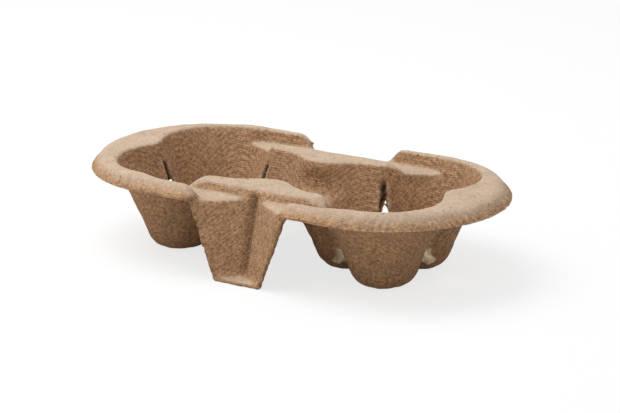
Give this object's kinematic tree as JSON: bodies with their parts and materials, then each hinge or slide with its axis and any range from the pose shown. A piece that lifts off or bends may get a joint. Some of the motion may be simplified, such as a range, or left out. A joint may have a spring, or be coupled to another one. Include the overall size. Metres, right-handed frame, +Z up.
{
  "type": "cardboard cup carrier",
  "caption": "Moulded pulp tray that carries cups side by side in lobed, slit wells, with a crowned rim, a raised divider and V-shaped legs.",
  "frame": {"origin": "on the floor, midway between the wells", "axes": "+X along the carrier from one well to the other, +Y across it, +Z up"},
  "size_m": [0.22, 0.1172, 0.0454],
  "materials": {
    "moulded_pulp": "matt moulded pulp"
  },
  "bodies": {
    "root": {"cup_carrier": "moulded_pulp"}
  },
  "joints": []
}
